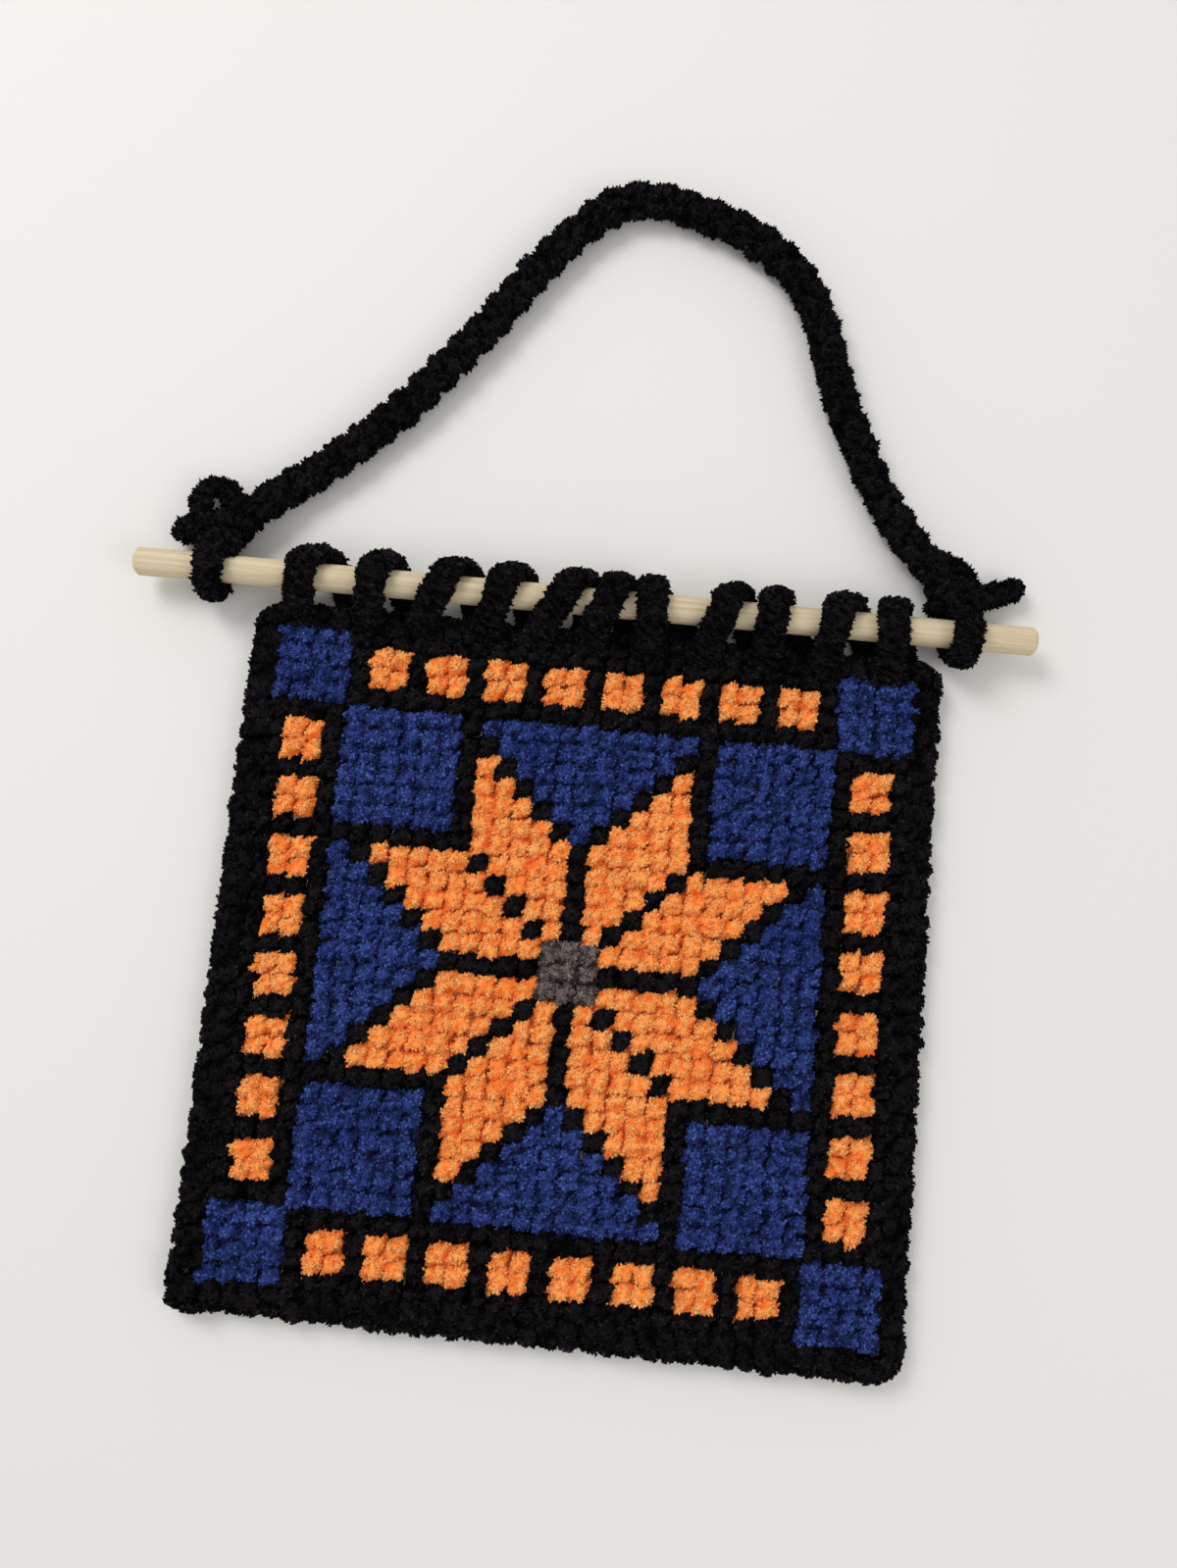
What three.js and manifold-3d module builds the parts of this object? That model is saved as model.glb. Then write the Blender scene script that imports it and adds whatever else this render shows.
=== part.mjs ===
// Needlepoint wall hanging: a square of stitched rug canvas with a whipped edge, lashed to a wooden
// dowel, with a plaited hanger tied to the dowel at both ends. It lies face up on z = 0.
// Millimetres. +X runs along the dowel, +Y from the panel to the hanger, +Z up from the face.
// The origin is the middle of the panel's flat back.
import * as THREE from 'three';
import { mergeVertices } from 'three/addons/utils/BufferGeometryUtils.js';
import Module from 'manifold-3d';

const wasm = await Module();
wasm.setup();

// Fits and yarn
const gap = 0.3; // between neighbouring pieces
const tableGap = 0.25; // under the strands that pass beneath the dowel and the edging
const yarnRound = 7.2; // a chenille strand where it lies free
const yarnWide = 10.2; // the same strand pressed flat against wood or canvas
const yarnThick = 5.5;
const yarnPinched = 4.2; // squeezed through the edging
const yarnUnder = 3; // squeezed between the edging and the table
const yarnSides = 8;

// Stitched panel and its edging
const panelThick = 9; // canvas with its stitches, front and back
const panelRim = 1; // softened edge of the stitching
const panelCorner = 1.5;
const edgingWidth = 9.1;
const edgingRound = 3; // softening of the whipped edge, top and bottom
const edgingCorner = 10;
const whipStitches = 140; // one to each hole of the canvas, all the way round
const whipKnob = 1.3; // how far each whip stitch stands out from its neighbours
// The edge as it lies, a little out of square
const outerCorners = [
  { corner: 'bottom left', x: -118.8, y: -117 },
  { corner: 'bottom right', x: 118, y: -119 },
  { corner: 'top right', x: 117, y: 115.8 },
  { corner: 'top left', x: -118, y: 117.4 },
];

// Dowel
const dowelLength = 304.8;
const dowelRadius = 9.525 / 2;
const dowelChamfer = 1.2; // sanded ends
const dowelSides = 32;
const wrapReach = dowelRadius + gap + yarnThick; // outside of a strand round the dowel
const dowelX = -6.3;
const dowelY = 124.8;
const dowelZ = wrapReach + tableGap;

// Plaited hanger: where it leaves the left knot, round the open loop, to the right knot
const hangerDia = 11.6;
const hangerSides = 10;
const hangerSteps = 17;
const hangerRoute = [
  [-127.4, 141.3, 10],
  [-119, 149.3, 8],
  [-111.5, 156, 6.4],
  [-100.5, 165.2, 6],
  [-90, 174.3, 6],
  [-80, 184.2, 6],
  [-70.5, 194.9, 6],
  [-52.8, 217.2, 6],
  [-36, 241.3, 6],
  [-27.3, 252.9, 6],
  [-17.5, 263.7, 6],
  [-6.3, 272.3, 6],
  [8, 274.3, 6],
  [22, 271.1, 6],
  [35.8, 266.3, 6],
  [48.4, 259.2, 6],
  [59, 249.5, 6],
  [66.3, 236.7, 6],
  [71, 222.5, 6],
  [75.5, 208.6, 6],
  [81, 195.2, 6],
  [87.3, 182.2, 6],
  [94.1, 169.8, 6.2],
  [101.6, 158.3, 7.5],
  [108.5, 150.2, 9],
  [114.6, 142.9, 10.4],
];

// Lashing: where each strand comes up through the edging, the x it has reached over the dowel and
// behind it, and how far in from the panel's edge it comes up
const strands = [
  { hole: -102.5, over: -100.5, behind: -93.6, inset: 8.8 },
  { hole: -78.6, over: -76.6, behind: -72.5, inset: 8.8 },
  { hole: -60.2, over: -52.5, behind: -47, inset: 8.8 },
  { hole: -38, over: -33, behind: -28.1, inset: 8.8 },
  { hole: -20.5, over: -11.4, behind: -5.7, inset: 8.8 },
  { hole: -3, over: 3.7, behind: 5.8, inset: 8.8 },
  { hole: 17.6, over: 16.4, behind: 16.5, inset: 10.2 },
  { hole: 36.6, over: 41.4, behind: 46.7, inset: 8.8 },
  { hole: 56.2, over: 57.2, behind: 59.4, inset: 8.8 },
  { hole: 76, over: 78.7, behind: 85, inset: 9.6 },
  { hole: 98.4, over: 96.7, behind: 99.6, inset: 10.2 },
];
const lashingEnd = { hole: 107, inset: 8.8 }; // the last strand is tucked in behind here

const leftWrap = { front: -132.2, back: -131.4 };
const rightWrap = { front: 121.4, back: 119.8 };

const xAxis = new THREE.Vector3(1, 0, 0);
const zAxis = new THREE.Vector3(0, 0, 1);

const yarnBlack = new THREE.MeshStandardMaterial({ color: 0x131214, roughness: 1, metalness: 0 });
const yarnBlue = new THREE.MeshStandardMaterial({ color: 0x26356f, roughness: 1, metalness: 0 });
const paleBirch = new THREE.MeshStandardMaterial({ color: 0xd9cdb4, roughness: 0.6, metalness: 0 });

function toSolid(geometry) {
  const bare = geometry.clone();
  bare.deleteAttribute('normal');
  bare.deleteAttribute('uv');
  const merged = mergeVertices(bare, 1e-4);
  const vertProperties = new Float32Array(merged.attributes.position.array);
  const triVerts = new Uint32Array(merged.index.array);
  return new wasm.Manifold(new wasm.Mesh({ numProp: 3, vertProperties, triVerts }));
}

function toGeometry(solid) {
  const mesh = solid.getMesh();
  const geometry = new THREE.BufferGeometry();
  geometry.setAttribute('position', new THREE.BufferAttribute(mesh.vertProperties, 3));
  geometry.setIndex(new THREE.BufferAttribute(mesh.triVerts, 1));
  return geometry;
}

function piece(name, solid, material) {
  const mesh = new THREE.Mesh(toGeometry(solid), material);
  mesh.name = name;
  return mesh;
}

// A strand of yarn: a capped cylinder bent along its stops, each with its own width along `side`
// and thickness across it. `grow` widens it all round, to cut the space that it passes through.
function strand(stops, side, grow = 0) {
  const route = new THREE.CatmullRomCurve3(stops.map((stop) => new THREE.Vector3(stop.x, stop.y, stop.z)));
  const steps = stops.length - 1;
  const geometry = new THREE.CylinderGeometry(1, 1, 1, yarnSides, steps);
  const points = geometry.attributes.position;
  const tangent = new THREE.Vector3();
  const across = new THREE.Vector3();
  const outward = new THREE.Vector3();
  for (let i = 0; i < points.count; i += 1) {
    const along = points.getY(i) + 0.5;
    const stop = stops[Math.round(along * steps)];
    route.getTangent(along, tangent);
    across.copy(side).addScaledVector(tangent, -side.dot(tangent)).normalize();
    outward.crossVectors(across, tangent);
    const point = new THREE.Vector3(stop.x, stop.y, stop.z);
    point.addScaledVector(across, points.getX(i) * (stop.wide / 2 + grow));
    point.addScaledVector(outward, points.getZ(i) * (stop.thick / 2 + grow));
    points.setXYZ(i, point.x, point.y, point.z);
  }
  return toSolid(geometry);
}

function roundYarn(x, y, z, dia = yarnRound) {
  return { x, y, z, wide: dia, thick: dia };
}

// A stop of a strand wrapped round the dowel, `degrees` up from the side that faces the hanger
function onDowel(x, degrees) {
  const angle = THREE.MathUtils.degToRad(degrees);
  const reach = wrapReach - yarnThick / 2;
  return {
    x,
    y: dowelY + reach * Math.cos(angle),
    z: dowelZ + reach * Math.sin(angle),
    wide: yarnWide,
    thick: yarnThick,
  };
}

// The straight-sided outline through four corners, each rounded off
function roundedOutline(corners, radius) {
  const points = corners.map((corner) => new THREE.Vector2(corner.x, corner.y));
  const shape = new THREE.Shape();
  points.forEach((point, i) => {
    const before = points.at(i - 1).clone().sub(point).setLength(radius).add(point);
    const after = points[(i + 1) % points.length].clone().sub(point).setLength(radius).add(point);
    if (i === 0) shape.moveTo(before.x, before.y);
    else shape.lineTo(before.x, before.y);
    shape.quadraticCurveTo(point.x, point.y, after.x, after.y);
  });
  shape.closePath();
  return shape;
}

function insetCorners(inset) {
  return outerCorners.map((corner) => ({
    x: corner.x - Math.sign(corner.x) * inset,
    y: corner.y - Math.sign(corner.y) * inset,
  }));
}

// The whipped outline: every second point stands out, one knob to each stitch
function whippedShape() {
  const even = roundedOutline(outerCorners, edgingCorner).getSpacedPoints(2 * whipStitches);
  even.pop();
  const points = even.map((point, i) => {
    const before = even.at(i - 1);
    const after = even[(i + 1) % even.length];
    const outward = new THREE.Vector2(after.y - before.y, before.x - after.x).normalize();
    return point.clone().addScaledVector(outward, i % 2 ? -whipKnob : 0);
  });
  const shape = new THREE.Shape(points);
  const hole = insetCorners(edgingWidth).map((corner) => new THREE.Vector2(corner.x, corner.y));
  shape.holes.push(new THREE.Path(hole.reverse()));
  return shape;
}

// A flat slab standing on z = 0, softened along its edges
function slab(shape, rounding) {
  const geometry = new THREE.ExtrudeGeometry(shape, {
    depth: panelThick - 2 * rounding,
    bevelThickness: rounding,
    bevelSize: rounding,
    bevelOffset: -rounding,
    bevelSegments: 1,
    curveSegments: 4,
  });
  geometry.translate(0, 0, rounding);
  return toSolid(geometry);
}

// The panel's top edge, at any x
function topEdge(x) {
  const right = outerCorners[2];
  const left = outerCorners[3];
  return left.y + ((x - left.x) / (right.x - left.x)) * (right.y - left.y);
}

// One strand up through the edging, over the dowel, behind it and under the edging to the next hole
function lashingTurn(from, next) {
  const mix = THREE.MathUtils.lerp;
  const inHole = topEdge(from.hole) - from.inset + yarnPinched / 2;
  const nextHole = topEdge(next.hole) - next.inset + yarnPinched / 2;
  const underZ = tableGap + yarnUnder / 2;
  const flat = { wide: yarnWide, thick: yarnThick };
  const under = { wide: yarnWide, thick: yarnUnder };
  return [
    { x: from.hole, y: inHole, z: panelThick / 2, wide: yarnWide - 1.5, thick: yarnPinched },
    { x: from.hole, y: inHole + 0.3, z: panelThick - 0.8, wide: yarnWide - 1, thick: yarnPinched },
    { x: mix(from.hole, from.over, 0.12), y: inHole + 2.8, z: panelThick + 2.4, ...flat },
    onDowel(mix(from.hole, from.over, 0.35), 150),
    onDowel(mix(from.hole, from.over, 0.6), 120),
    onDowel(mix(from.hole, from.over, 0.82), 90),
    onDowel(from.over, 60),
    onDowel(mix(from.over, from.behind, 0.35), 30),
    onDowel(mix(from.over, from.behind, 0.75), 0),
    onDowel(from.behind, -30),
    onDowel(mix(from.behind, next.hole, 0.12), -60),
    onDowel(mix(from.behind, next.hole, 0.3), -90),
    { x: mix(from.behind, next.hole, 0.52), y: dowelY - 5.4, z: 2.4, wide: yarnWide, thick: 4.1 },
    { x: mix(from.behind, next.hole, 0.78), y: nextHole + 4.4, z: underZ, ...under },
    { x: next.hole, y: nextHole + 1.2, z: underZ + 0.2, wide: yarnWide - 1, thick: yarnUnder },
  ];
}

// The whole lashing is one length of yarn, from the first hole to the tucked end
function lashingStops() {
  const stops = strands.flatMap((from, i) => lashingTurn(from, strands[i + 1] ?? lashingEnd));
  const tuckedStart = { ...stops[0], z: 1.9 };
  return [tuckedStart, ...stops];
}

function dowelSolid() {
  const half = dowelLength / 2;
  const profile = [
    new THREE.Vector2(0, -half),
    new THREE.Vector2(dowelRadius - dowelChamfer, -half),
    new THREE.Vector2(dowelRadius, -half + dowelChamfer),
    new THREE.Vector2(dowelRadius, half - dowelChamfer),
    new THREE.Vector2(dowelRadius - dowelChamfer, half),
    new THREE.Vector2(0, half),
  ];
  const geometry = new THREE.LatheGeometry(profile, dowelSides);
  geometry.rotateZ(-Math.PI / 2);
  geometry.translate(dowelX, dowelY, dowelZ);
  return toSolid(geometry);
}

function hangerCurve() {
  return new THREE.CatmullRomCurve3(hangerRoute.map((point) => new THREE.Vector3(...point)));
}

function hangerSolid(grow = 0) {
  const section = new THREE.Shape();
  section.absarc(0, 0, hangerDia / 2 + grow, 0, 2 * Math.PI);
  const ring = new THREE.Shape(section.getSpacedPoints(hangerSides).slice(0, hangerSides));
  return toSolid(
    new THREE.ExtrudeGeometry(ring, { steps: hangerSteps, extrudePath: hangerCurve(), bevelEnabled: false }),
  );
}

// The room that the hanger takes up inside a knot, with a little to spare past its end
function hangerRoom() {
  const curve = hangerCurve();
  const plugs = [0, 1].map((end) => {
    const inward = curve.getTangent(end).multiplyScalar(end ? 1 : -1);
    const stops = [-1, -0.5, gap].map((depth) => curve.getPoint(end).addScaledVector(inward, depth));
    return strand(stops.map((stop) => roundYarn(stop.x, stop.y, stop.z, hangerDia + 2 * gap)), zAxis);
  });
  return hangerSolid(gap).add(plugs[0]).add(plugs[1]);
}

function knotBody(x, y, z, alongX, alongY, alongZ) {
  const geometry = new THREE.SphereGeometry(1, 12, 8);
  geometry.scale(alongX, alongY, alongZ);
  geometry.translate(x, y, z);
  return toSolid(geometry);
}

// A wrap of the knot's own yarn round the dowel, in and out of the knot on the hanger's side
function knotWrap(wrap, knot) {
  const mix = THREE.MathUtils.lerp;
  const flat = { wide: yarnWide, thick: yarnThick };
  return strand([
    { x: wrap.front, y: knot.y, z: dowelZ + 1.5, ...flat },
    { x: wrap.front, y: knot.y - 4.5, z: dowelZ + 4.2, ...flat },
    ...[60, 90, 120, 150, 180].map((degrees) => onDowel(wrap.front, degrees)),
    ...[210, 240, 270, 300].map((degrees, i) => onDowel(mix(wrap.front, wrap.back, (i + 1) / 4), degrees)),
    { x: wrap.back, y: knot.y - 3.5, z: 4.2, ...flat },
    { x: wrap.back, y: knot.y, z: 5.2, ...flat },
  ], xAxis);
}

function leftKnot() {
  const knot = { x: -131.9, y: 137.6 };
  const body = knotBody(knot.x, knot.y, 8.6, 8.9, 8, 7.6);
  const loop = strand([
    roundYarn(-137.2, 140.6, 8),
    roundYarn(-140.4, 145.2, 7),
    roundYarn(-141.4, 150.4, 6.2),
    roundYarn(-139, 154.2, 5.6),
    roundYarn(-135.2, 155.2, 5.4),
    roundYarn(-131.8, 153.6, 5.6),
    roundYarn(-130.2, 149.8, 6.2),
    roundYarn(-130.8, 145.4, 7),
    roundYarn(-133.2, 141.5, 8),
  ], zAxis);
  const stub = strand([
    roundYarn(-137, 138.6, 7.5, 8.6),
    roundYarn(-142, 138.9, 6.4, 9),
    roundYarn(-146, 138.6, 5.6, 8.6),
    roundYarn(-148.8, 138.3, 5.2, 5.4),
  ], zAxis);
  return knotWrap(leftWrap, knot).add(body).add(loop).add(stub);
}

function rightKnot() {
  const knot = { x: 119, y: 138.5 };
  const body = knotBody(knot.x, knot.y, 8.6, 9, 8.4, 7.8);
  const loop = strand([
    roundYarn(112.2, 145, 4.6, 7),
    roundYarn(112.2, 150.2, 4.4),
    roundYarn(115.6, 152.2, 4.4),
    roundYarn(119.8, 151.2, 4.8),
    roundYarn(123.2, 148.2, 5.4),
    roundYarn(125, 143.6, 6.2),
    roundYarn(123.2, 138.5, 7),
  ], zAxis);
  const tail = strand([
    roundYarn(123, 137.4, 7),
    roundYarn(129.5, 139.8, 5.8, 8),
    roundYarn(135.8, 142.2, 4.8, 7.6),
    roundYarn(140.6, 144.2, 4.4, 7),
    roundYarn(142.9, 145.2, 4, 4.6),
  ], zAxis);
  const stub = strand([
    roundYarn(117, 137, 6),
    roundYarn(112.8, 135.2, 4.8),
    roundYarn(110.8, 134.4, 4.4, 4),
  ], zAxis);
  return knotWrap(rightWrap, knot).add(body).add(loop).add(tail).add(stub);
}

const lashing = strand(lashingStops(), xAxis);
const lashingRoom = strand(lashingStops(), xAxis, gap);
const edging = slab(whippedShape(), edgingRound).subtract(lashingRoom);
const panelOutline = roundedOutline(insetCorners(edgingWidth + gap), panelCorner);
const panel = slab(panelOutline, panelRim).subtract(lashingRoom);

const hanging = new THREE.Group();
hanging.add(
  piece('stitched_panel', panel, yarnBlue),
  piece('whipped_edging', edging, yarnBlack),
  piece('dowel', dowelSolid(), paleBirch),
  piece('lashing', lashing, yarnBlack),
  piece('hanger_plait', hangerSolid(), yarnBlack),
  piece('left_knot', leftKnot().subtract(hangerRoom()), yarnBlack),
  piece('right_knot', rightKnot().subtract(hangerRoom()), yarnBlack),
);

export default hanging;
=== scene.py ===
# Needlepoint wall hanging: chenille stitches on rug canvas with a whipped edge, lashed to a birch
# dowel, which hangs from a knotted plait of the same black yarn.
import math
import random
import bpy
import numpy as np
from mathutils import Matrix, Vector


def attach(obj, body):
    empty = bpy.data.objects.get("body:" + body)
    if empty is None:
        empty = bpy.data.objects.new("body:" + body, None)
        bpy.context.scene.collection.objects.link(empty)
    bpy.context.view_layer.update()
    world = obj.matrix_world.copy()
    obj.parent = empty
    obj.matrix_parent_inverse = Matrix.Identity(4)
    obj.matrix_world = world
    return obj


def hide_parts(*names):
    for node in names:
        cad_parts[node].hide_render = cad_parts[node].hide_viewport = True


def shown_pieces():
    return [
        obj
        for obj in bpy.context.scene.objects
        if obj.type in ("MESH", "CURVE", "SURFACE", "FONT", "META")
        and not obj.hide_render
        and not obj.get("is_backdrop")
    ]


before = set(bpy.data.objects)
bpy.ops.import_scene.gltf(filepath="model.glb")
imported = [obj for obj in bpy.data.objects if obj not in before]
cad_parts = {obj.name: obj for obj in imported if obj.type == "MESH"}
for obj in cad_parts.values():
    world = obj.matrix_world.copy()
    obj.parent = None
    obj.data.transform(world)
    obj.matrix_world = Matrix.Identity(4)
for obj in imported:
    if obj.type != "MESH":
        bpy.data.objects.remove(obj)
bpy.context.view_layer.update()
mm = 0.001  # the plans below are in millimetres
weld = 0.01  # corners closer than this are merged
scene = bpy.context.scene


cameraPlan = {
    "place": (6.11, 16.94, 398.3),
    "turn": (6.823, 0.096, 5.333),  # degrees
    "lens": 27.02,
    "sensor": 36,
    "nearest": 10,
}


def makeCamera():
    bpy.ops.object.camera_add(
        location=[v * mm for v in cameraPlan["place"]],
        rotation=[math.radians(v) for v in cameraPlan["turn"]],
    )
    camera = bpy.context.object
    camera.name = "camera"
    camera.data.lens = cameraPlan["lens"]
    camera.data.sensor_width = cameraPlan["sensor"]
    camera.data.clip_start = cameraPlan["nearest"] * mm
    scene.camera = camera


def deselectAll():
    bpy.ops.object.select_all(action="DESELECT")


def makeActive(piece):
    deselectAll()
    piece.select_set(True)
    bpy.context.view_layer.objects.active = piece


def applyModifier(piece, modifier):
    makeActive(piece)
    bpy.ops.object.modifier_apply(modifier=modifier.name)


def smoothShade(piece):
    makeActive(piece)
    bpy.ops.object.shade_smooth()


def faceOutwards():
    bpy.ops.mesh.select_all(action="SELECT")
    bpy.ops.mesh.normals_make_consistent(inside=False)


def joinPieces(pieces, name):
    deselectAll()
    for piece in pieces:
        piece.select_set(True)
    bpy.context.view_layer.objects.active = pieces[0]
    bpy.ops.object.join()
    pieces[0].name = name
    pieces[0].data.name = name
    return pieces[0]


def setPoints(piece, points):
    piece.data.vertices.foreach_set("co", (np.asarray(points) * mm).ravel())
    piece.data.update()


def getPoints(piece):
    points = np.zeros(len(piece.data.vertices) * 3)
    piece.data.vertices.foreach_get("co", points)
    return points.reshape(-1, 3) / mm


def storeValues(piece, name, values, kind="FLOAT"):
    layers = piece.data.attributes
    layer = layers.get(name) or layers.new(name, kind, "POINT")
    layer.data.foreach_set("vector" if kind == "FLOAT_VECTOR" else "value", np.ravel(values))


def readValues(piece, name, kind="FLOAT"):
    wide = 3 if kind == "FLOAT_VECTOR" else 1
    values = np.zeros(len(piece.data.vertices) * wide)
    piece.data.attributes[name].data.foreach_get("value" if wide == 1 else "vector", values)
    return values if wide == 1 else values.reshape(-1, 3)


def reachAlong(line):
    return np.concatenate([[0], np.cumsum(np.linalg.norm(np.diff(line, axis=0), axis=1))])


# A smooth line through rows of x, y, z, width, thickness, with evenly spaced stations
def smoothRows(stops, spacing, stepsBetween=24):
    rows = np.array(stops, float)
    ends = np.vstack([2 * rows[0] - rows[1], rows, 2 * rows[-1] - rows[-2]])
    fine = []
    for k in range(len(rows) - 1):
        a, b, c, d = ends[k:k + 4]
        for t in np.arange(stepsBetween) / stepsBetween:
            fine.append(b + 0.5 * t * (c - a + t * (2 * a - 5 * b + 4 * c - d + t * (3 * (b - c) + d - a))))
    fine.append(rows[-1])
    fine = np.array(fine)
    reach = reachAlong(fine[:, :3])
    count = max(2, round(reach[-1] / spacing))
    even = np.linspace(0, reach[-1], count + 1)
    return np.column_stack([np.interp(even, reach, column) for column in fine.T]), even


def lineFrames(rows, side):
    tangent = np.gradient(rows[:, :3], axis=0)
    tangent /= np.linalg.norm(tangent, axis=1, keepdims=True)
    across = side - tangent * (tangent @ side)[:, None]
    across /= np.linalg.norm(across, axis=1, keepdims=True)
    return tangent, across, np.cross(across, tangent)


# A strand rolled up from a flat grid, with rounded ends
def rollStrand(name, stops, side, sides, spacing):
    rows, reach = smoothRows(stops, spacing)
    tangent, across, outward = lineFrames(rows, np.array(side, float))
    deselectAll()
    bpy.ops.mesh.primitive_grid_add(x_subdivisions=sides, y_subdivisions=len(rows) - 1, size=1)
    strand = bpy.context.object
    strand.name = name
    flat = getPoints(strand) * mm
    angle = (flat[:, 0] + 0.5) * 2 * math.pi
    ring = np.rint((flat[:, 1] + 0.5) * (len(rows) - 1)).astype(int)
    endRoom = rows[:, 4] / 2
    fromEnd = np.minimum(reach, reach[-1] - reach) / endRoom
    closing = np.sqrt(np.clip(1 - (1 - np.clip(fromEnd, 0, 1)) ** 2, 0, 1))
    wide = (rows[:, 3] / 2 * closing)[ring, None] * np.cos(angle)[:, None]
    thick = (rows[:, 4] / 2 * closing)[ring, None] * np.sin(angle)[:, None]
    setPoints(strand, rows[ring, :3] + across[ring] * wide + outward[ring] * thick)
    storeValues(strand, "hidden", np.sin(angle))  # -1 at the outside, 1 where it is turned in
    storeValues(strand, "along", tangent[ring], "FLOAT_VECTOR")
    bpy.ops.object.mode_set(mode="EDIT")
    bpy.ops.mesh.select_all(action="SELECT")
    bpy.ops.mesh.remove_doubles(threshold=weld * mm)
    faceOutwards()
    bpy.ops.object.mode_set(mode="OBJECT")
    return strand


# The lowest pile is pressed flat where the piece lies
def pressFlat(piece, soft=0.4):
    points = getPoints(piece)
    low = np.minimum(points[:, 2], soft)
    points[:, 2] += soft * np.exp(low / soft - 1) - low
    setPoints(piece, points)


# Soft lumps and a finer grain, pushed in and out along the surface, with how far each place rose as
# "rise": 0 up to the valleys' share of all places, 1 past the crests'
def roughen(piece, lumps, valleys=8, crests=70):
    lumpSize, lumpDepth, grainSize, grainDepth = lumps
    before = getPoints(piece)
    normals = np.zeros(before.size)
    piece.data.vertex_normals.foreach_get("vector", normals)
    for label, kind, size, push in (
        ("Lumps", "VORONOI", lumpSize, -lumpDepth),
        ("Grain", "CLOUDS", grainSize, grainDepth),
    ):
        if not push:
            continue
        texture = bpy.data.textures.new(piece.name + label, kind)
        texture.noise_scale = size * mm
        modifier = piece.modifiers.new(label, "DISPLACE")
        modifier.texture = texture
        modifier.texture_coords = "LOCAL"
        modifier.strength = push * mm
        modifier.mid_level = 0.5
        applyModifier(piece, modifier)
    risen = ((getPoints(piece) - before) * normals.reshape(-1, 3)).sum(axis=1)
    low, high = np.percentile(risen, (valleys, crests))
    storeValues(piece, "rise", np.clip((risen - low) / (high - low), 0, 1))
    pressFlat(piece)


def addNode(tree, kind, settings=None, inputs=None):
    node = tree.nodes.new(kind)
    for key, value in (settings or {}).items():
        setattr(node, key, value)
    for key, value in (inputs or {}).items():
        if isinstance(value, bpy.types.NodeSocket):
            tree.links.new(value, node.inputs[key])
        else:
            node.inputs[key].default_value = value
    return node


def mathNode(tree, operation, first, second, third=0.0, clamp=False):
    return addNode(tree, "ShaderNodeMath", {"operation": operation, "use_clamp": clamp}, {
        0: first, 1: second, 2: third,
    }).outputs[0]


def scaled(tree, value, slope, base):
    return mathNode(tree, "MULTIPLY_ADD", value, slope, base)


def vectorNode(tree, operation, first, second, third=(0, 0, 0)):
    return addNode(tree, "ShaderNodeVectorMath", {"operation": operation}, {
        0: first, 1: second, 2: third,
    }).outputs[0]


def newShape(name):
    tree = bpy.data.node_groups.new(name, "GeometryNodeTree")
    tree.interface.new_socket("Geometry", in_out="INPUT", socket_type="NodeSocketGeometry")
    tree.interface.new_socket("Geometry", in_out="OUTPUT", socket_type="NodeSocketGeometry")
    start = tree.nodes.new("NodeGroupInput")
    end = tree.nodes.new("NodeGroupOutput")
    return tree, start.outputs[0], end.inputs[0]


def applyShape(piece, tree):
    modifier = piece.modifiers.new(tree.name, "NODES")
    modifier.node_group = tree
    applyModifier(piece, modifier)
    bpy.data.node_groups.remove(tree)


def readAttribute(tree, name, kind="FLOAT"):
    named = addNode(tree, "GeometryNodeInputNamedAttribute", {"data_type": kind}, {"Name": name})
    return named.outputs["Attribute"]


def placed(tree, points, shape, rotation, scale):
    model = addNode(tree, "GeometryNodeObjectInfo", None, {"Object": shape})
    return addNode(tree, "GeometryNodeInstanceOnPoints", None, {
        "Points": points,
        "Instance": model.outputs["Geometry"],
        "Rotation": rotation,
        "Scale": scale,
    }).outputs["Instances"]


def realize(tree, copies, end):
    real = addNode(tree, "GeometryNodeRealizeInstances", None, {"Geometry": copies})
    tree.links.new(real.outputs["Geometry"], end)


# Copies of one shape at given places, each with its own turn about z and size
def placeCopies(name, shape, places, turns, sizes):
    mesh = bpy.data.meshes.new(name)
    mesh.from_pydata([[v * mm for v in place] for place in places], [], [])
    copies = bpy.data.objects.new(name, mesh)
    scene.collection.objects.link(copies)
    storeValues(copies, "turn", turns, "FLOAT_VECTOR")
    storeValues(copies, "size", sizes, "FLOAT_VECTOR")
    tree, start, end = newShape(name + "Copies")
    turn = readAttribute(tree, "turn", "FLOAT_VECTOR")
    size = readAttribute(tree, "size", "FLOAT_VECTOR")
    realize(tree, placed(tree, start, shape, turn, size), end)
    applyShape(copies, tree)
    for label in ("turn", "size"):
        if label in copies.data.attributes:
            copies.data.attributes.remove(copies.data.attributes[label])
    return copies


pilePlan = {
    "shortest": 0.75,
    "longest": 1.25,
    "tuft": 2.6,  # neighbours within this much lean the same way
    "combed": 2.0,
    "strayed": 0.5,
    "swept": 3.2,  # how far the locks of a stitch are swept off their own fan
    "flattest": 0.2,
    "steepest": 0.8,
    "spin": 0.45,
    "inValleys": 0.45,  # share of tufts that stand in the valleys between stitches
    "lowInValleys": 0.58,
    "inside": 0.15,  # how far round a strand its outside reaches, as "hidden"
}
# Two tuft shapes; the last list gives each corner's share of painted light, 0 being painted shade at the
# root
lockPlan = {
    "corners": [(0, 1.3, -0.05), (-0.64, 0.5, -0.25), (0, -0.9, -0.25), (0.64, 0.5, -0.25), (0, 0.5, 0.5)],
    "tips": [0.8, 0.4, 0.0, 0.4, 1.0],
}
ribPlan = {
    "corners": [(-0.75, -0.05, 0.6), (0.7, 0.1, 1.0), (0, -0.45, -0.4), (0, 0.45, -0.4)],
    "tips": [0.8, 1.0, 0.0, 0.0],
}
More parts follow.
